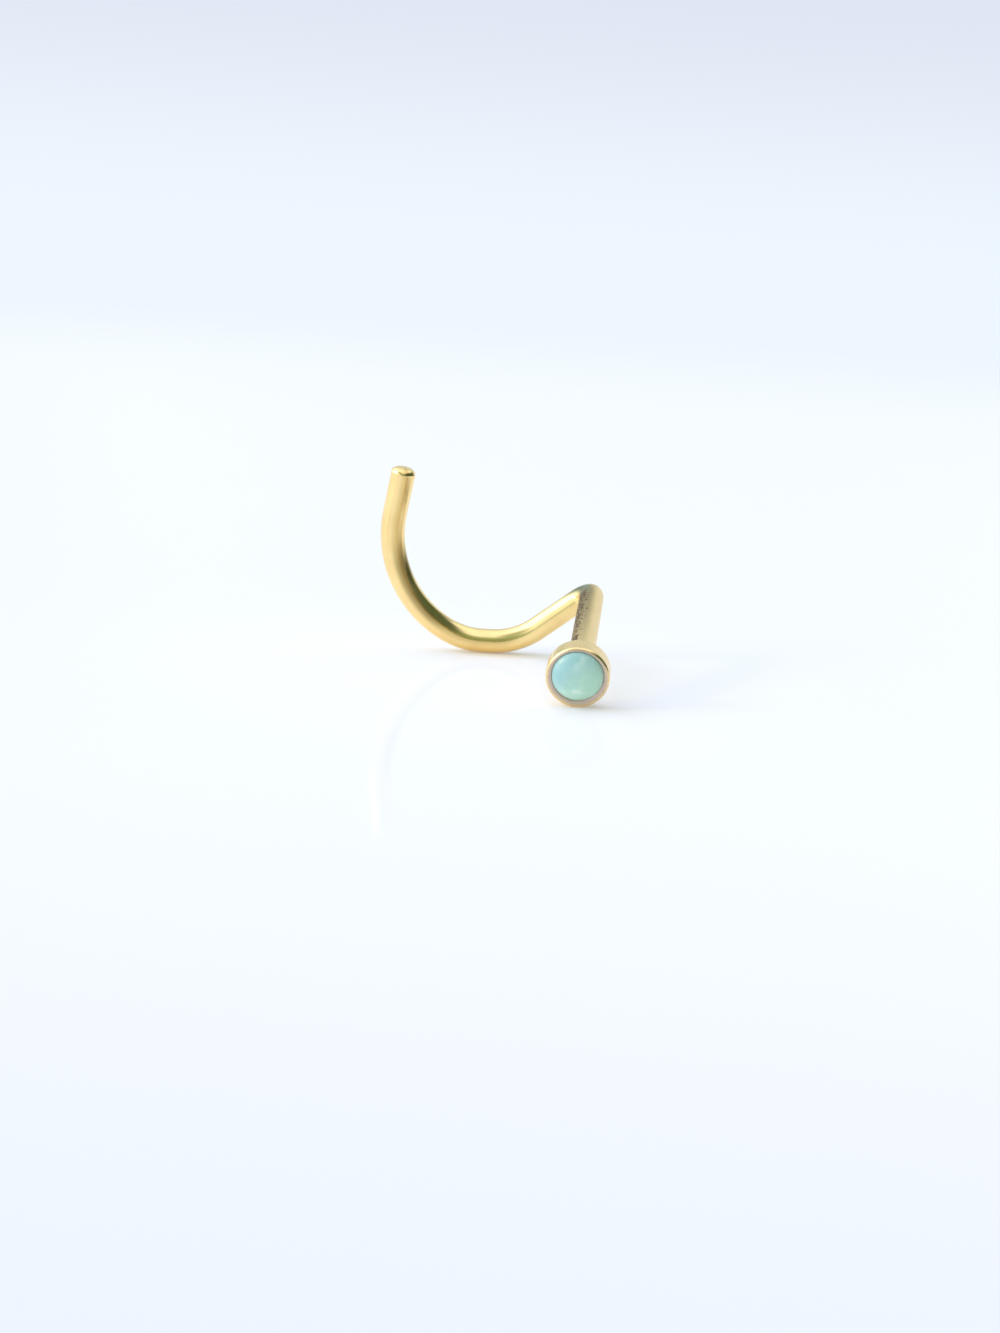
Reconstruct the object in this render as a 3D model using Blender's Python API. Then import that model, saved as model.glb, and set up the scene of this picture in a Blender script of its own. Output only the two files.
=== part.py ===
"""Nose stud: a nostril screw with a small round cabochon in a closed setting.

Lengths are in metres and +Z is up. Each piece is modelled along the stud's own
axis first: the post runs along +Y, and the lip of the setting lies at y = 0 and
faces -Y. The stud is then laid down as it rests by itself, on the lip of the
setting and the foot of the hook, with the middle of its footprint at the origin.
"""

import math

import bmesh
import bpy
from mathutils import Matrix, Vector

MM = 0.001

# Wire of 20 gauge, which makes the post and the hook in one length
WIRE_DIAMETER = 0.81 * MM
TIP_ROUND = 0.07 * MM
SOLDER_FILLET = 0.12 * MM

# Post, from the back of the setting to the near side of the hook
POST_LENGTH = 6.50 * MM
BEND_RADIUS = 0.80 * MM

# Hook, from the bend to the tip; radii are those of the wire's centre line
HOOK_SWEEP = math.radians(6.0)
HOOK_FALL = math.radians(41.0)
SHOULDER_LENGTH = 1.28 * MM
HEEL_RADIUS = 2.60 * MM
FOOT_LENGTH = 0.50 * MM
KNEE_RADIUS = 2.40 * MM
KNEE_TURN = math.radians(30.0)
BOW_RADIUS = 3.80 * MM
BOW_TURN = math.radians(68.0)
TIP_LENGTH = 1.80 * MM

# Setting, a turned cup with its lip pressed over the stone
SETTING_DIAMETER = 1.96 * MM
SETTING_DEPTH = 0.75 * MM
SETTING_WALL = 0.14 * MM
SETTING_BASE = 0.20 * MM
SETTING_EDGE = 0.05 * MM
LIP_ROUND = 0.07 * MM
LIP_DEPTH = 0.26 * MM

# Cabochon
STONE_CLEARANCE = 0.02 * MM
STONE_RISE = 0.28 * MM
STONE_EDGE = 0.04 * MM

# Facets
WIRE_SIDES = 24
ARC_STEP = math.radians(2.5)
BEND_STEP = math.radians(7.5)
ROUND_STEPS = 4
TURNED_SIDES = 48
DOME_STEPS = 9
SHARP_ANGLE = math.radians(40.0)
WELD = 1e-7
POSE_ROUNDS = 8

# Worked out from the sizes above
WIRE_RADIUS = WIRE_DIAMETER / 2
SETTING_RADIUS = SETTING_DIAMETER / 2
STONE_RADIUS = SETTING_RADIUS - SETTING_WALL - STONE_CLEARANCE
SEAT_Y = SETTING_DEPTH - SETTING_BASE
HOOK_Y = SETTING_DEPTH + POST_LENGTH + WIRE_RADIUS


def clear_scene():
    for old in list(bpy.data.objects):
        bpy.data.objects.remove(old, do_unlink=True)


def finish(name, colour, roughness, metallic):
    """Principled material for one piece."""
    material = bpy.data.materials.new(name)
    material.use_nodes = True
    shader = material.node_tree.nodes["Principled BSDF"]
    shader.inputs["Base Color"].default_value = (*colour, 1.0)
    shader.inputs["Roughness"].default_value = roughness
    shader.inputs["Metallic"].default_value = metallic
    return material


def add_object(name, mesh, material=None):
    mesh.shade_smooth()
    mesh.set_sharp_from_angle(angle=SHARP_ANGLE)
    if material is not None:
        mesh.materials.append(material)
    piece = bpy.data.objects.new(name, mesh)
    bpy.context.collection.objects.link(piece)
    return piece


def turned(name, profile):
    """Solid turned about the Y axis from (radius, y) points that start and end on the axis."""
    shape = bmesh.new()
    corners = [shape.verts.new((radius, y, 0.0)) for radius, y in profile]
    edges = [shape.edges.new(pair) for pair in zip(corners, corners[1:])]
    bmesh.ops.spin(shape, geom=corners + edges, cent=(0, 0, 0), axis=(0, 1, 0),
                   angle=math.tau, steps=TURNED_SIDES, use_merge=True, use_duplicate=False)
    bmesh.ops.remove_doubles(shape, verts=shape.verts, dist=WELD)
    half_side = math.pi / TURNED_SIDES
    bmesh.ops.rotate(shape, verts=shape.verts, cent=(0, 0, 0),
                     matrix=Matrix.Rotation(half_side, 3, "Y"))
    bmesh.ops.recalc_face_normals(shape, faces=shape.faces)
    mesh = bpy.data.meshes.new(name)
    shape.to_mesh(mesh)
    shape.free()
    return mesh


def quarter(steps):
    """Angles of a quarter circle, both ends included."""
    return [math.pi / 2 * step / steps for step in range(steps + 1)]


def dome_radius(y):
    """Radius of the cabochon's dome at a depth y between its top and its girdle."""
    height = (LIP_DEPTH - y) / (LIP_DEPTH + STONE_RISE)
    return STONE_RADIUS * math.sqrt(max(0.0, 1.0 - height * height))


def stone_profile():
    """Cabochon: flat back with a small edge, straight girdle, elliptical dome."""
    back = SEAT_Y - STONE_CLEARANCE
    profile = [(0.0, back), (STONE_RADIUS - STONE_EDGE, back), (STONE_RADIUS, back - STONE_EDGE)]
    for angle in quarter(DOME_STEPS):
        radius = STONE_RADIUS * math.cos(angle)
        profile.append((radius, LIP_DEPTH - (LIP_DEPTH + STONE_RISE) * math.sin(angle)))
    profile[-1] = (0.0, -STONE_RISE)
    return profile


def setting_profile():
    """Cup from the middle of its back, up its outside, over the lip and down to the seat."""
    profile = [(0.0, SETTING_DEPTH), (SETTING_RADIUS - SETTING_EDGE, SETTING_DEPTH),
               (SETTING_RADIUS, SETTING_DEPTH - SETTING_EDGE)]
    for angle in quarter(ROUND_STEPS):
        profile.append((SETTING_RADIUS - LIP_ROUND * (1 - math.cos(angle)),
                        LIP_ROUND * (1 - math.sin(angle))))
    # The inside of the lip lies along the dome, one clearance away from it
    for step in range(ROUND_STEPS + 1):
        y = LIP_ROUND / 2 + (LIP_DEPTH - LIP_ROUND / 2) * step / ROUND_STEPS
        profile.append((dome_radius(y) + STONE_CLEARANCE, y))
    profile += [(SETTING_RADIUS - SETTING_WALL, SEAT_Y), (0.0, SEAT_Y)]
    return profile


def straight(path, heading, length):
    path.append(path[-1] + heading * length)


def hook_direction(heading):
    """Unit vector in the hook's plane, at an angle above level, away from the post."""
    outward = Vector((-math.cos(HOOK_SWEEP), -math.sin(HOOK_SWEEP), 0.0))
    return outward * math.cos(heading) + Vector((0.0, 0.0, math.sin(heading)))


def arc(path, heading, radius, turn):
    """Adds an arc in the hook's plane that curls upward, and gives the new heading."""
    steps = max(1, math.ceil(turn / ARC_STEP))
    chord = 2 * radius * math.sin(turn / steps / 2)
    for step in range(steps):
        path.append(path[-1] + hook_direction(heading + turn * (step + 0.5) / steps) * chord)
    return heading + turn


def bend():
    """The bend between post and hook, which turns the wire from +Y into the hook's plane."""
    centre = Vector((0.0, HOOK_Y - BEND_RADIUS, 0.0))
    away = hook_direction(-HOOK_FALL)
    steps = math.ceil(math.pi / 2 / BEND_STEP)
    path = []
    for angle in quarter(steps):
        path.append(centre + Vector((0.0, BEND_RADIUS * math.sin(angle), 0.0))
                    + away * BEND_RADIUS * (1 - math.cos(angle)))
    return path


def hook():
    """Centre line from the bend to the tip, and the middle of the foot it rests on."""
    path = bend()
    straight(path, hook_direction(-HOOK_FALL), SHOULDER_LENGTH)
    heading = arc(path, -HOOK_FALL, HEEL_RADIUS, HOOK_FALL)
    heel_end = path[-1]
    straight(path, hook_direction(heading), FOOT_LENGTH)
    foot = (heel_end + path[-1]) / 2
    heading = arc(path, heading, KNEE_RADIUS, KNEE_TURN)
    heading = arc(path, heading, BOW_RADIUS, BOW_TURN)
    straight(path, hook_direction(heading), TIP_LENGTH - TIP_ROUND)
    return path, heading, foot


def wire_rings():
    """The wire's centre line as (point, radius) pairs, from inside the setting's base to the tip."""
    rings = [(Vector((0.0, SETTING_DEPTH - SETTING_BASE / 2, 0.0)), WIRE_RADIUS + SOLDER_FILLET)]
    for angle in quarter(ROUND_STEPS):
        y = SETTING_DEPTH + SOLDER_FILLET * (1 - math.cos(angle))
        rings.append((Vector((0.0, y, 0.0)), WIRE_RADIUS + SOLDER_FILLET * (1 - math.sin(angle))))
    path, heading, foot = hook()
    rings += [(point, WIRE_RADIUS) for point in path]
    shank_end = path[-1]
    for angle in quarter(ROUND_STEPS)[1:]:
        point = shank_end + hook_direction(heading) * TIP_ROUND * math.sin(angle)
        rings.append((point, WIRE_RADIUS - TIP_ROUND * (1 - math.cos(angle))))
    return rings, foot


def wire_mesh(rings):
    """Round wire swept along its rings, with closed ends."""
    curve = bpy.data.curves.new("wire", "CURVE")
    curve.dimensions = "3D"
    curve.bevel_depth = WIRE_RADIUS
    curve.bevel_resolution = WIRE_SIDES // 2 - 2
    curve.use_fill_caps = True
    spline = curve.splines.new("POLY")
    spline.points.add(len(rings) - 1)
    for control, (point, radius) in zip(spline.points, rings):
        control.co = (*point, 1.0)
        control.radius = radius / WIRE_RADIUS
    guide = bpy.data.objects.new("wire_guide", curve)
    bpy.context.collection.objects.link(guide)
    mesh = bpy.data.meshes.new_from_object(guide.evaluated_get(bpy.context.evaluated_depsgraph_get()))
    bpy.data.objects.remove(guide, do_unlink=True)
    shape = bmesh.new()
    shape.from_mesh(mesh)
    bmesh.ops.remove_doubles(shape, verts=shape.verts, dist=WELD)
    bmesh.ops.recalc_face_normals(shape, faces=shape.faces)
    shape.to_mesh(mesh)
    shape.free()
    return mesh


def rest_pose(foot):
    """Rotation that lays the stud on the lip of its setting and the foot of its hook.

    The slope lifts the bend until lip and foot are level, and the roll about the
    post levels the foot itself. Each depends a little on the other.
    """
    lip_ring = SETTING_RADIUS - LIP_ROUND
    reach = foot.y - LIP_ROUND
    roll = 0.0
    for _ in range(POSE_ROUNDS):
        drop = foot.x * math.sin(roll) - foot.z * math.cos(roll) - lip_ring
        lift = math.asin((WIRE_RADIUS - LIP_ROUND) / math.hypot(reach, drop))
        slope = math.atan2(drop, reach) + lift
        roll = math.asin(math.tan(HOOK_SWEEP) * math.tan(slope))
    return Matrix.Rotation(slope, 4, "X") @ Matrix.Rotation(roll, 4, "Y")


def footprint(pieces):
    """Lowest and highest corners of the pieces as they stand in the world."""
    graph = bpy.context.evaluated_depsgraph_get()
    points = []
    for piece in pieces:
        solid = piece.evaluated_get(graph)
        points += [solid.matrix_world @ vertex.co for vertex in solid.data.vertices]
    low = Vector([min(point[axis] for point in points) for axis in range(3)])
    high = Vector([max(point[axis] for point in points) for axis in range(3)])
    return low, high


def build():
    clear_scene()
    gold = finish("polished_gold", (0.86, 0.62, 0.24), 0.18, 1.0)
    mint = finish("mint_cabochon", (0.36, 0.66, 0.60), 0.22, 0.0)

    rings, foot = wire_rings()
    wire = add_object("wire", wire_mesh(rings))
    wire.hide_render = True
    wire.display_type = "WIRE"

    # Setting and wire are soldered, so they are one solid
    screw = add_object("nose_screw", turned("nose_screw", setting_profile()), gold)
    solder = screw.modifiers.new("solder", "BOOLEAN")
    solder.operation = "UNION"
    solder.object = wire

    stone = add_object("cabochon", turned("cabochon", stone_profile()), mint)

    stand = bpy.data.objects.new("stand", None)
    bpy.context.collection.objects.link(stand)
    for piece in (wire, screw, stone):
        piece.parent = stand
    stand.matrix_world = rest_pose(foot)
    bpy.context.view_layer.update()
    low, high = footprint((screw, stone))
    stand.location = (-(low.x + high.x) / 2, -(low.y + high.y) / 2, -low.z)
    bpy.context.view_layer.update()
    return stand


build()
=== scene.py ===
import math

import bmesh
import bpy
from mathutils import Matrix, Vector


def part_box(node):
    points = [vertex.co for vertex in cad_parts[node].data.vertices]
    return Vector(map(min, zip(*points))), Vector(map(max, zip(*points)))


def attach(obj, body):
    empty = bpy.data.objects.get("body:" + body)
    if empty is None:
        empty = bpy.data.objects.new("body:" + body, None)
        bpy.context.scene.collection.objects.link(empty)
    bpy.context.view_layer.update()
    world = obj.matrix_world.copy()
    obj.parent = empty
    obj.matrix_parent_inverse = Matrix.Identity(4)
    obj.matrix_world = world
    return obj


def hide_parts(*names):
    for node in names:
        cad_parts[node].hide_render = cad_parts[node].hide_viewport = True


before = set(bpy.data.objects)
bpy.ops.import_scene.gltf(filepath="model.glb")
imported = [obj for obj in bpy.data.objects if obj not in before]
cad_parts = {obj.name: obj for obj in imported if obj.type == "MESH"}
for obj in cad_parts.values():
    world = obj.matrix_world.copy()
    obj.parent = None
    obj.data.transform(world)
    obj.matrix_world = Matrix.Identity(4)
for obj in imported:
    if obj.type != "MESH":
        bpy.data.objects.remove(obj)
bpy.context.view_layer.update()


# Cup
# A closed setting turned from gold-filled rod and soldered to the end of the post. Its rim
# is burnished over the stone by hand, which leaves a rounded, slightly wavy edge.
MM = 0.001
MICRON = 1e-6
cup_radius = 0.98 * MM
cup_depth = 0.75 * MM
cup_wall = 0.14 * MM
cup_base = 0.20 * MM
back_round = 0.06 * MM
rim_middle = 0.867 * MM
rim_half = cup_radius - rim_middle
rim_depth = 0.10 * MM
rim_inner_turn = math.radians(130.0)
girdle_depth = 0.14 * MM
stone_radius = 0.82 * MM
stone_rise = 0.28 * MM
stone_gap = 0.006 * MM
off_centre = 0.06 * MM
cup_sides = 192
round_steps = 10
rim_steps = 30
weld = 0.1 * MICRON
sharp_angle = math.radians(40.0)

# Unevenness of the rim: each wave's count round the rim, its share and where it starts
rim_wave = 0.008 * MM
rim_waves = ((3, 0.45, 0.6), (7, 0.35, 2.1), (13, 0.20, 4.0))

# The stud lies on the rim of the cup and the low point of the hook, so the post slopes up
# to the hook and the whole stud is rolled a little about the post. The rim touches the
# table a little behind its front.
post_slope = math.radians(10.70)
post_roll = math.radians(1.14)
rim_reach = 0.07 * MM

gold_colour = (1.0, 0.765, 0.355, 1.0)
red_gold_colour = (0.96, 0.69, 0.31, 1.0)
worn_and_shaded_rim_colour = (0.58, 0.46, 0.38, 1.0)
gold_index = 1.45
scratch_depth = 0.6 * MICRON


class Shade:
    """A value in a material; arithmetic on it adds the Math nodes it needs."""

    def __init__(self, tree, socket=None):
        self.tree = tree
        self.socket = socket

    def node(self, kind, settings={}, sockets={}, output=0):
        """Adds a node of a type, makes its settings, then fills or links its sockets."""
        made = self.tree.nodes.new("ShaderNode" + kind)
        for name, value in settings.items():
            setattr(made, name, value)
        for name, value in sockets.items():
            if isinstance(value, Shade):
                self.tree.links.new(value.socket, made.inputs[name])
            else:
                made.inputs[name].default_value = value
        return Shade(self.tree, made.outputs[output])

    def math(self, operation, *values):
        return self.node("Math", {"operation": operation}, dict(enumerate(values)))

    def __add__(self, other):
        return self.math("ADD", self, other)

    __radd__ = __add__

    def __sub__(self, other):
        return self.math("SUBTRACT", self, other)

    def __rsub__(self, other):
        return self.math("SUBTRACT", other, self)

    def __mul__(self, other):
        return self.math("MULTIPLY", self, other)

    __rmul__ = __mul__

    def ramp(self, low, high):
        """0 below low and 1 above high, with a smooth rise between them."""
        return self.node("MapRange", {"interpolation_type": "SMOOTHSTEP"},
                         {"Value": self, "From Min": low, "From Max": high})

    def mix(self, first, second):
        """Colour that goes from first to second as this value goes from 0 to 1."""
        return self.node("Mix", {"data_type": "RGBA"}, {0: self, 6: first, 7: second}, output=2)

    def noise(self, scale, detail, roughness=0.5):
        """Cloudy value from 0 to 1 at this place; scale is its number of clouds in a metre."""
        return self.node("TexNoise", {}, {"Vector": self, "Scale": scale, "Detail": detail,
                                          "Roughness": roughness})

    def part(self, axis):
        """The X, Y or Z of this place."""
        return self.node("SeparateXYZ", {}, {"Vector": self}, output=axis)

    def distance(self, centre, stretch):
        """How far this place is from a centre, counted more along an axis with more stretch."""
        apart = self.node("VectorMath", {"operation": "SUBTRACT"}, {0: self, 1: centre})
        apart = self.node("VectorMath", {"operation": "MULTIPLY"}, {0: apart, 1: stretch})
        return self.node("VectorMath", {"operation": "LENGTH"}, {0: apart}, output="Value")

    def bump(self, strength, depth, **under):
        """Normal of a surface with this value as its height; under is a bump beneath it."""
        return self.node("Bump", {}, {"Height": self, "Strength": strength, "Distance": depth,
                                      **under})


def finish(name, **sockets):
    """New material with a Principled shader; fixed values are set on its sockets."""
    material = bpy.data.materials.new(name)
    material.use_nodes = True
    shader = material.node_tree.nodes["Principled BSDF"]
    for socket, value in sockets.items():
        shader.inputs[socket.replace("_", " ")].default_value = value
    return material, Shade(material.node_tree), shader


def connect(shader, **sockets):
    """Links values to the sockets of a material's shader."""
    for socket, value in sockets.items():
        value.tree.links.new(value.socket, shader.inputs[socket.replace("_", " ")])


def turned(profile):
    """Solid turned about the stud's own Y axis from (radius, depth) points."""
    shape = bmesh.new()
    corners = [shape.verts.new((radius, depth, 0)) for radius, depth in profile]
    edges = [shape.edges.new(pair) for pair in zip(corners, corners[1:])]
    bmesh.ops.spin(shape, geom=corners + edges, cent=(0, 0, 0), axis=(0, 1, 0),
                   angle=math.tau, steps=cup_sides, use_merge=True, use_duplicate=False)
    bmesh.ops.remove_doubles(shape, verts=shape.verts, dist=weld)
    bmesh.ops.recalc_face_normals(shape, faces=shape.faces)
    return shape


def quarter(steps):
    """Angles of a quarter circle, both ends included."""
    return [math.pi / 2 * step / steps for step in range(steps + 1)]


def dome_radius(depth):
    """Radius of the stone at a depth behind the front of the rim."""
    height = (girdle_depth - depth) / (girdle_depth + stone_rise)
    return stone_radius * math.sqrt(max(0.0, 1.0 - height * height))


def lay_down(shape, name, material):
    """Makes the piece, turns it as the stud lies, and sets it where the solid has its cup."""
    low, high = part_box("nose_screw")
    ring = cup_radius - rim_reach
    place = Vector((high.x - cup_radius,
                    low.y + rim_reach + ring * math.sin(post_slope),
                    low.z + rim_reach + ring * math.cos(post_slope)))
    along = Vector((0, math.cos(post_slope), math.sin(post_slope)))
    pose = (Matrix.Translation(place - along * rim_reach)
            @ Matrix.Rotation(post_slope, 4, "X") @ Matrix.Rotation(post_roll, 4, "Y"))
    bmesh.ops.transform(shape, matrix=pose, verts=shape.verts)
    mesh = bpy.data.meshes.new(name)
    shape.to_mesh(mesh)
    shape.free()
    mesh.shade_smooth()
    mesh.set_sharp_from_angle(angle=sharp_angle)
    mesh.materials.append(material)
    piece = bpy.data.objects.new(name, mesh)
    bpy.context.collection.objects.link(piece)
    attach(piece, "root")
    return piece


profile = [(0, cup_depth)]
for angle in quarter(round_steps):
    profile.append((cup_radius - back_round + back_round * math.sin(angle),
                    cup_depth - back_round + back_round * math.cos(angle)))
for step in range(rim_steps + 1):
    angle = rim_inner_turn * step / rim_steps
    profile.append((rim_middle + rim_half * math.cos(angle), rim_depth * (1 - math.sin(angle))))
rim_inner, rim_inner_depth = profile[-1]
for step in range(1, round_steps + 1):
    depth = rim_inner_depth + (girdle_depth - rim_inner_depth) * step / round_steps
    profile.append((dome_radius(depth) + stone_gap, depth))
profile += [(cup_radius - cup_wall, cup_depth - cup_base), (0, cup_depth - cup_base)]
cup_shape = turned(profile)

# Burnishing leaves the rim a little uneven all round, and "burnished" notes how far in
# a point of it lies
burnished = cup_shape.verts.layers.float.new("burnished")
for corner in cup_shape.verts:
    radius = math.hypot(corner.co.x, corner.co.z)
    if corner.co.y < girdle_depth:
        corner[burnished] = (cup_radius - radius) / (2 * rim_half)
    if corner.co.y < rim_depth:
        around = math.atan2(corner.co.z, corner.co.x)
        wave = sum(share * math.sin(count * around + start) for count, share, start in rim_waves)
        corner.co.y += rim_wave * (0.5 + 0.5 * wave) * corner[burnished]

# The stone sits a little high, so the rim is wider below it than above
for corner in cup_shape.verts:
    radius = math.hypot(corner.co.x, corner.co.z)
    if corner.co.y < cup_depth - cup_base + weld:
        corner.co.z += off_centre * min(1.0, (cup_radius - radius) / (cup_radius - rim_inner))

# The gold is cloudy, and greyer, darker and duller towards the inside of the rim: partly wear,
# and partly painted shade in the crevice beside the stone
cup_gold, shade, shader = finish("cup_gold", Metallic=1.0, IOR=gold_index)
place = shade.node("TexCoord", output="Object")
cloud = place.noise(1400.0, 3.0)
wipe = place.noise(9000.0, 4.0, 0.65)
inward = shade.node("Attribute", {"attribute_name": "burnished"}, output="Fac")
worn_and_shaded = (inward + 0.5 * (wipe - 0.5)).ramp(-0.10, 0.60)
colour = cloud.ramp(0.35, 0.75).mix(gold_colour, red_gold_colour)
# Worn gold and painted shade towards the stone
colour = worn_and_shaded.mix(colour, worn_and_shaded_rim_colour)
rough = 0.20 + 0.10 * wipe.ramp(0.3, 0.8) + 0.16 * worn_and_shaded
connect(shader, Base_Color=colour, Roughness=rough, Normal=wipe.bump(0.4, scratch_depth))

cup = lay_down(cup_shape, "cup", cup_gold)
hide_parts("nose_screw")


# Cabochon
# A small stone of milky mint blue, domed and polished, with a flat back on the seat of the cup.
# Light goes a little way into it. It is bluer at the upper left and greener at the lower right,
# and cloudy, with a small pale painted highlight near the bottom.
seat_gap = 0.02 * MM
stone_edge = 0.04 * MM
dome_steps = 40
stone_blue = (0.345, 0.60, 0.64, 1.0)
stone_green = (0.535, 0.80, 0.645, 1.0)
stone_milk_and_highlight = (0.75, 0.90, 0.845, 1.0)
green_slant = 0.8
green_drift = 0.8 * MM
green_start, green_full = 1.5 * MM, 3.1 * MM
highlight_place = Vector((3.13, -4.00, 0.57)) * MM
highlight_stretch = (1.0, 1.0, 2.0)
highlight_drift = 0.3 * MM
highlight_full, highlight_end = 0.06 * MM, 0.26 * MM
grain_depth = 0.5 * MICRON

stone_back = cup_depth - cup_base - seat_gap
profile = [(0, stone_back), (stone_radius - stone_edge, stone_back),
           (stone_radius, stone_back - stone_edge)]
for angle in quarter(dome_steps)[:-1]:
    profile.append((stone_radius * math.cos(angle),
                    girdle_depth - (girdle_depth + stone_rise) * math.sin(angle)))
profile.append((0, -stone_rise))
stone_shape = turned(profile)
bmesh.ops.translate(stone_shape, verts=stone_shape.verts, vec=(0, 0, off_centre))

mint, shade, shader = finish("mint_stone", IOR=1.53, Subsurface_Weight=0.6,
                             Subsurface_Radius=(0.8, 1.0, 1.0), Subsurface_Scale=0.2 * MM)
place = shade.node("TexCoord", output="Object")
drift = place.noise(900.0, 2.0)
cloud = place.noise(2600.0, 5.0, 0.6)
grain = place.noise(16000.0, 3.0)
lower_right = place.part("X") - green_slant * place.part("Z")
greener = (lower_right + green_drift * (drift - 0.5)).ramp(green_start, green_full)
body = greener.mix(stone_blue, stone_green)
# A small pale highlight painted into the stone near the bottom
from_highlight = place.distance(highlight_place, highlight_stretch) + highlight_drift * (cloud - 0.5)
painted_highlight = 1.0 - from_highlight.ramp(highlight_full, highlight_end)
colour = (0.50 * cloud.ramp(0.48, 0.80) + 0.60 * painted_highlight).mix(body, stone_milk_and_highlight)
rough = 0.30 + 0.10 * cloud
connect(shader, Base_Color=colour, Roughness=rough, Normal=grain.bump(0.3, grain_depth))

stone = lay_down(stone_shape, "cabochon_stone", mint)
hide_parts("cabochon")


# Post and hook
# One length of 20-gauge gold-filled wire, drawn round and polished. It is bent cold round
# pegs: a tight bend behind the nostril, then the bow that curls up to the cut and rounded tip.
wire_radius = 0.405 * MM
wire_sides = 96
post_straight = 6.377 * MM
straight_step = 0.10 * MM
peg_radius = 0.60 * MM
hook_sweep = math.radians(7.5)
hook_fall = math.radians(39.6)
shoulder_length = 1.636 * MM
heel_radius = 2.40 * MM
foot_length = 0.287 * MM
knee_radius = 2.60 * MM
knee_turn = math.radians(32.7)
bow_radius = 4.053 * MM
bow_turn = math.radians(66.0)
tip_length = 1.575 * MM
tip_round = 0.20 * MM
tip_fullness = 0.65
tip_steps = 20
turn_step = math.radians(1.5)
solder_fillet = 0.12 * MM

wire = bmesh.new()
drawn = wire.verts.layers.float_vector.new("drawn")
wire_middle = Vector((0, cup_depth - cup_base / 2, 0))
heading = Vector((0, 1, 0))
facing_post = Matrix.Rotation(-math.pi / 2, 4, "X")
bmesh.ops.create_circle(wire, segments=wire_sides, radius=wire_radius + solder_fillet,
                        matrix=Matrix.Translation(wire_middle) @ facing_post)
open_end = list(wire.edges)


def carry_on(move, length, radius=None):
    """Extrudes the open end of the wire by one move and notes how much wire went into it."""
    global open_end, wire_middle
    grown = bmesh.ops.extrude_edge_only(wire, edges=open_end)["geom"]
    corners = [item for item in grown if isinstance(item, bmesh.types.BMVert)]
    bmesh.ops.transform(wire, matrix=move, verts=corners)
    wire_middle = move @ wire_middle
    for corner in corners:
        corner[drawn] += Vector((0, length, 0))
        if radius is not None:
            corner.co = wire_middle + (corner.co - wire_middle).normalized() * radius
    fresh = set(corners)
    open_end = [item for item in grown if isinstance(item, bmesh.types.BMEdge)
                and fresh.issuperset(item.verts)]


def straight(length):
    """Carries the wire straight on."""
    steps = math.ceil(length / straight_step)
    for _ in range(steps):
        carry_on(Matrix.Translation(heading * length / steps), length / steps)


def bend(goal, radius):
    """Bends the wire round a peg until it heads towards the goal, a unit vector."""
    global heading
    turn = heading.angle(goal)
    toward = (goal - heading * heading.dot(goal)).normalized()
    peg = Matrix.Translation(wire_middle + toward * radius)
    steps = math.ceil(turn / turn_step)
    move = peg @ Matrix.Rotation(turn / steps, 4, heading.cross(toward)) @ peg.inverted()
    for _ in range(steps):
        carry_on(move, radius * turn / steps)
    heading = goal


def in_hook(angle):
    """Direction in the plane of the hook, at an angle above level and away from the post."""
    outward = Vector((-math.cos(hook_sweep), -math.sin(hook_sweep), 0))
    return outward * math.cos(angle) + Vector((0, 0, math.sin(angle)))


# The wire starts inside the base of the cup. "drawn" is each point's place in the wire
# before it was bent, from the middle of that first end.
for corner in wire.verts:
    corner[drawn] = corner.co - wire_middle
straight(cup_base / 2)

# The solder leaves a small fillet between the back of the cup and the post
reached = 0.0
for angle in quarter(round_steps)[1:]:
    length = solder_fillet * (1 - math.cos(angle)) - reached
    reached += length
    carry_on(Matrix.Translation(heading * length), length,
             wire_radius + solder_fillet * (1 - math.sin(angle)))
straight(post_straight - solder_fillet)
bend(in_hook(-hook_fall), peg_radius)
straight(shoulder_length)
bend(in_hook(0.0), heel_radius)
straight(foot_length)
bend(in_hook(knee_turn), knee_radius)
bend(in_hook(knee_turn + bow_turn), bow_radius)
straight(tip_length - tip_round)

# The cut end is filed and polished to a low dome
reached = 0.0
for angle in quarter(tip_steps)[1:]:
    length = tip_round * math.sin(angle) - reached
    reached += length
    carry_on(Matrix.Translation(heading * length), length,
             wire_radius * max(0.0, math.cos(angle)) ** tip_fullness)
bmesh.ops.remove_doubles(wire, verts=wire.verts, dist=weld)
bmesh.ops.holes_fill(wire, edges=wire.edges, sides=0)
bmesh.ops.recalc_face_normals(wire, faces=wire.faces)

post_dark_colour = (0.38, 0.29, 0.125, 1.0)
bend_reflection_colour = (0.27, 0.28, 0.155, 1.0)
gold_reflection_colour = (0.50, 0.33, 0.08, 1.0)
post_reflection_colour = (0.20, 0.17, 0.066, 1.0)
stain_colour = (0.15, 0.105, 0.06, 1.0)
pit_depth = 5.0 * MICRON

# Where each mark, painted reflections among them, starts and ends along the wire; a pair is the
# two ends of its fading
post_end = (6.1 * MM, 7.2 * MM)
post_dark_start = (-2.0 * MM, 6.0 * MM)
bend_start, bend_end = (5.6 * MM, 6.5 * MM), (7.2 * MM, 8.0 * MM)
gold_reflection_start = (9.5 * MM, 10.5 * MM)
post_reflection_start, post_reflection_end = (12.3 * MM, 13.3 * MM), (15.2 * MM, 16.6 * MM)
wide_start, wide_end = (14.3 * MM, 15.3 * MM), (15.6 * MM, 16.6 * MM)
stain_start, stain_end = (0.2 * MM, 0.6 * MM), (6.0 * MM, 6.6 * MM)

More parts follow.
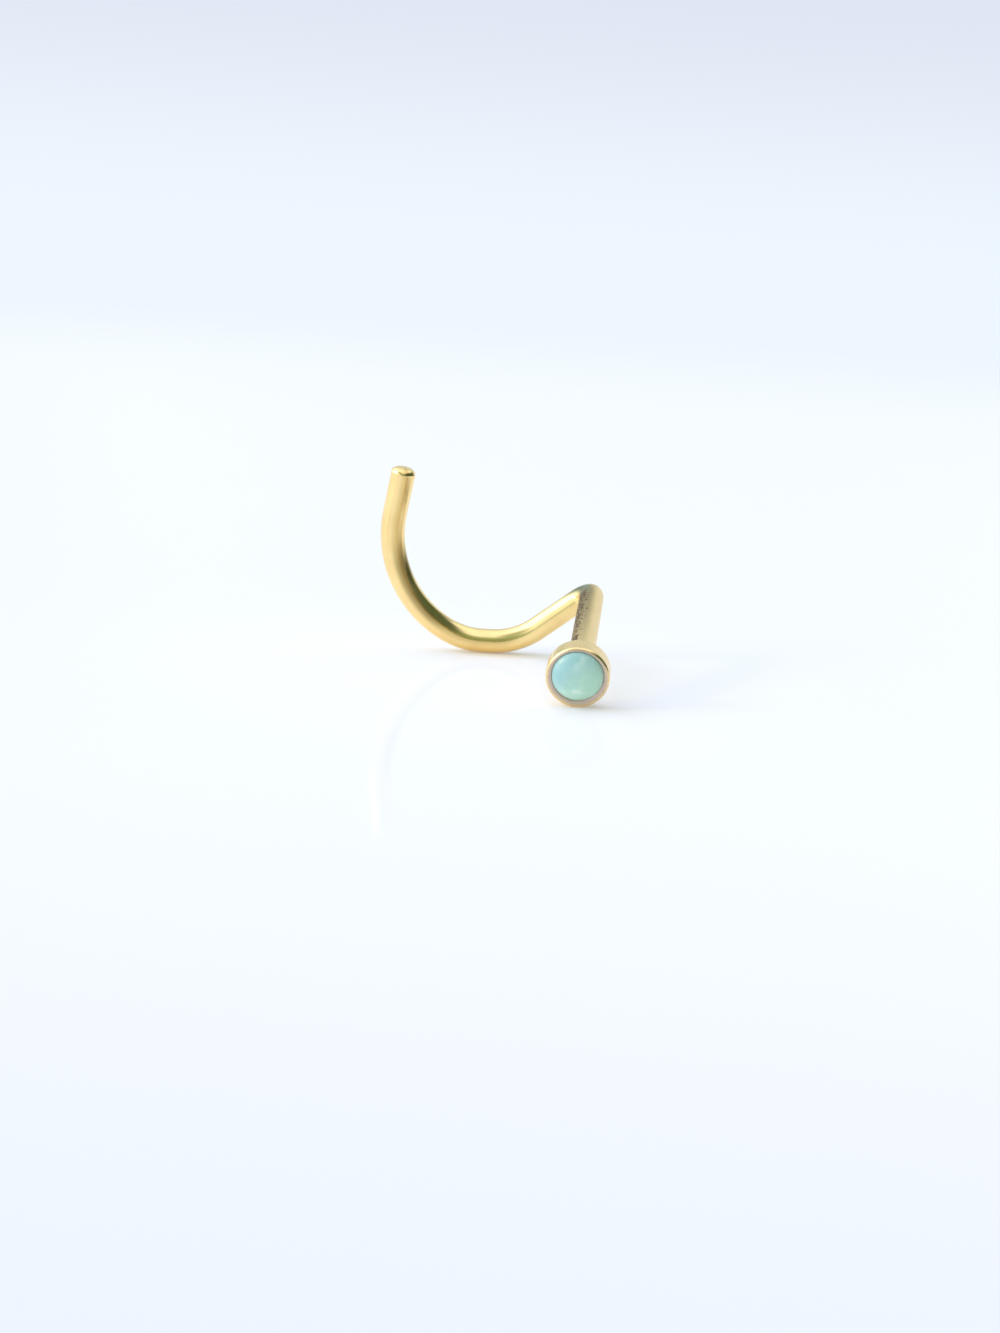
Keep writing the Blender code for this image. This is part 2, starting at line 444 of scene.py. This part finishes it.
wire_gold, shade, shader = finish("wire_gold", Metallic=1.0, IOR=gold_index)
unbent = shade.node("Attribute", {"attribute_name": "drawn"}, output="Vector")
drawn_out = shade.node("Mapping", {}, {"Vector": unbent, "Scale": (1.0, 0.04, 1.0)})
draw_lines = drawn_out.noise(24000.0, 3.0, 0.6)
cloud = unbent.noise(1100.0, 3.0)
pits = unbent.noise(15000.0, 4.0, 0.7)
grains = unbent.noise(8500.0, 3.0)
along = unbent.part("Y")
leftward = unbent.part("X") * (-1.0 / wire_radius)
upward = unbent.part("Z") * (1.0 / wire_radius)
colour = cloud.ramp(0.40, 0.78).mix(gold_colour, red_gold_colour)


def between(start, end):
    """1 on a stretch of the wire and 0 beyond it."""
    return along.ramp(*start) * (1.0 - along.ramp(*end))


# The post is darker and rougher than the hook, most of all towards the bend and on its left, and
# the top of the bend has a painted reflection of the dark room behind, a greener grey
on_post = 1.0 - along.ramp(*post_end)
post_dark = on_post * along.ramp(*post_dark_start) * (0.75 + 0.5 * pits) * leftward.ramp(-0.8, 0.2)
colour = post_dark.mix(colour, post_dark_colour)
# Painted reflection of the dark room behind, on the top of the bend
on_bend = between(bend_start, bend_end) * upward.ramp(0.0, 0.7)
colour = (on_bend * leftward.ramp(-0.1, 0.6)).mix(colour, bend_reflection_colour)

# The inner side of the hook has a painted reflection of the wire's own gold, deeper gold, and a
# darker painted reflection of the post and its shadow along the bow. It stops short of the
# inmost line of the wire, but for a stretch where it reaches across.
inward = math.sin(hook_fall) * leftward + math.cos(hook_fall) * upward
frontward = math.cos(hook_fall) * leftward - math.sin(hook_fall) * upward
inmost = inward.ramp(0.30, 0.70) * (1.0 - between(wide_start, wide_end))
inner_side = inward.ramp(-0.5, 0.2) * (1.0 - inmost) * frontward.ramp(-0.3, 0.2)
colour = (0.5 * inner_side * along.ramp(*gold_reflection_start)).mix(colour, gold_reflection_colour)
colour = (0.58 * inner_side * between(post_reflection_start, post_reflection_end)).mix(colour, post_reflection_colour)

# Polish and grime are left along the side of the post that the hook shields. They break up
# into specks, and the cap on the side leaves some gold bare between them.
side = leftward.math("MINIMUM", leftward, 0.80)
speckled = (side + 2.4 * (grains - 0.5) + 0.6 * (cloud - 0.5)).ramp(0.42, 0.84)
stain = between(stain_start, stain_end) * upward.ramp(-0.75, 0.2) * speckled
colour = stain.mix(colour, stain_colour)
rough = 0.16 + 0.08 * draw_lines + 0.05 * cloud + on_post * (0.07 + 0.10 * pits) + 0.25 * stain
fine = draw_lines.bump(0.4, scratch_depth)
normal = (on_post * pits + 0.8 * stain).bump(0.6, pit_depth, Normal=fine)
connect(shader, Base_Color=colour, Roughness=rough, Normal=normal)

hook_wire = lay_down(wire, "hook_wire", wire_gold)
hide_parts("nose_screw")


# Table
# A smooth, slightly milky pale surface with a faint shine, far larger than the stud. Light is
# painted into it: a pool of light round the stud, painted shade that makes it dimmer towards the
# camera, and a faint painted glow that lifts the shade under the stud. It fades into the
# backdrop far behind.
table_size = 4.0
painted_pool_colour = (0.735, 0.735, 0.785, 1.0)
table_near = (0.70, 0.70, 0.76, 1.0)
painted_front_shade = (0.557, 0.579, 0.708, 1.0)
painted_fill_glow = (0.93, 0.97, 1.0, 1.0)
warm_colour = (0.735, 0.68, 0.61, 1.0)
painted_pool_end = (3 * MM, 14 * MM)
front_shade_start = (10 * MM, 60 * MM)
table_end = (50 * MM, 300 * MM)
hook_low_point = Vector((-0.2, 3.4, 0.0)) * MM
warm_stretch = (0.6, 1.6, 1.0)
warm_end = (0.4 * MM, 1.1 * MM)

bpy.ops.mesh.primitive_plane_add(size=table_size)
table = bpy.context.object
table.name = "table"
# The table's faint glow is painted light that lifts the shade round and under the stud
table_finish, shade, shader = finish("pale_table", Specular_IOR_Level=0.0, Roughness=0.5,
                                     Emission_Color=painted_fill_glow, Emission_Strength=0.22,
                                     Coat_Weight=0.25, Coat_Roughness=0.07, Coat_IOR=1.45)
place = shade.node("TexCoord", output="Object")
from_stud = place.distance((0.0, 0.0, 0.0), (1.0, 1.0, 1.0))
towards_camera = -1.0 * place.part("Y")
# Painted pool of light round the stud
colour = from_stud.ramp(*painted_pool_end).mix(painted_pool_colour, table_near)
# Painted shade, dimmer towards the camera
colour = towards_camera.ramp(*front_shade_start).mix(colour, painted_front_shade)

# The gold throws a little of its colour on the table where the hook rests
warm = 1.0 - place.distance(hook_low_point, warm_stretch).ramp(*warm_end)
colour = warm.mix(colour, warm_colour)
connect(shader, Base_Color=colour, Alpha=1.0 - from_stud.ramp(*table_end))
table.data.materials.append(table_finish)


# Light
# A low warm key light, a wide window and a lamp on the left, a pale ceiling, and the darker
# parts of the room on the right, in front and behind, which is what the polished gold mirrors.
# The camera sees a plain pale backdrop in place of the room.
sky_colour = (1.22, 1.26, 1.32, 1.0)
window_colour = (2.0, 2.1, 2.3, 1.0)
lamp_colour = (2.3, 2.6, 3.3, 1.0)
right_dark = (0.08, 0.12, 0.075, 1.0)
front_dark = (0.34, 0.45, 0.28, 1.0)
corner_dark = (0.44, 0.54, 0.46, 1.0)
back_mid = (0.70, 0.79, 0.84, 1.0)
back_dark = (0.55, 0.63, 0.58, 1.0)
back_pale = (0.85, 0.92, 1.0, 1.0)
backdrop_low = (0.855, 0.922, 0.995, 1.0)
backdrop_high = (0.74, 0.79, 0.90, 1.0)
backdrop_rise = 0.14
key_colour = (1.0, 0.75, 0.22)
key_strength = 0.9
key_width = math.radians(9.0)
key_azimuth = -65.5
key_elevation = 19.0


def direction(azimuth, elevation):
    """Unit vector; azimuth turns from the front, -Y, to the right, +X."""
    turn, rise = math.radians(azimuth), math.radians(elevation)
    level = math.cos(rise)
    return Vector((math.sin(turn) * level, -math.cos(turn) * level, math.sin(rise)))


world = bpy.data.worlds.new("room")
world.use_nodes = True
bpy.context.scene.world = world
shade = Shade(world.node_tree)
looking = shade.node("TexCoord", output="Generated")


def zone(azimuth, elevation, outer, inner):
    """0 beyond the outer angle from a direction and 1 within the inner angle."""
    near = shade.node("VectorMath", {"operation": "DOT_PRODUCT"},
                      {0: looking, 1: direction(azimuth, elevation)}, output="Value")
    return near.ramp(math.cos(math.radians(outer)), math.cos(math.radians(inner)))


window = zone(-92, 36, 40, 14)
front_corner = zone(-25, 45, 26, 6)
lamp = zone(-78, 35, 26, 10)
back_wall = zone(180, 26, 36, 14)
below_ceiling = 1.0 - zone(0, 90, 57, 38)
right_half = zone(67, 0, 95, 78)
right_wall = zone(98, 0, 69, 52)
right_middle = zone(82, 5, 58, 44)
back_left = zone(-150, 12, 17, 8)
back_right = zone(150, 12, 26, 12)
room = window.mix(sky_colour, window_colour)
room = front_corner.mix(room, corner_dark)
room = lamp.mix(room, lamp_colour)
room = back_wall.mix(room, back_mid)
room = (below_ceiling * right_half).mix(room, right_wall.mix(front_dark, right_dark))
room = right_middle.mix(room, right_dark)
room = back_left.mix(room, back_dark)
room = back_right.mix(room, back_pale)
backdrop = looking.part("Z").ramp(0.0, backdrop_rise).mix(backdrop_low, backdrop_high)
seen = shade.node("LightPath", output="Is Camera Ray").mix(room, backdrop)
background = world.node_tree.nodes["Background"]
world.node_tree.links.new(seen.socket, background.inputs["Color"])
background.inputs["Strength"].default_value = 1.0

key = bpy.data.lights.new("key", "SUN")
key.energy = key_strength
key.color = key_colour
key.angle = key_width
key_lamp = bpy.data.objects.new("key", key)
bpy.context.collection.objects.link(key_lamp)
key_from = direction(key_azimuth, key_elevation)
key_lamp.rotation_euler = key_from.to_track_quat("Z", "Y").to_euler()


# Camera
# Just above the table and a little to the right of the post, turned slightly about its own axis.
camera_place = Vector((5.424, -63.142, 13.582)) * MM
camera_heading = math.radians(4.516)
camera_dip = math.radians(11.830)
camera_twist = math.radians(3.806)

camera = bpy.data.cameras.new("camera")
camera.lens = 54.0
camera.sensor_width = 36.0
camera.clip_start = 1.0 * MM
camera.clip_end = 10.0
camera_object = bpy.data.objects.new("camera", camera)
bpy.context.collection.objects.link(camera_object)
camera_object.matrix_world = (Matrix.Translation(camera_place)
                              @ Matrix.Rotation(camera_heading, 4, "Z")
                              @ Matrix.Rotation(math.pi / 2 - camera_dip, 4, "X")
                              @ Matrix.Rotation(camera_twist, 4, "Z"))
bpy.context.scene.camera = camera_object
bpy.context.scene.view_settings.view_transform = "Standard"
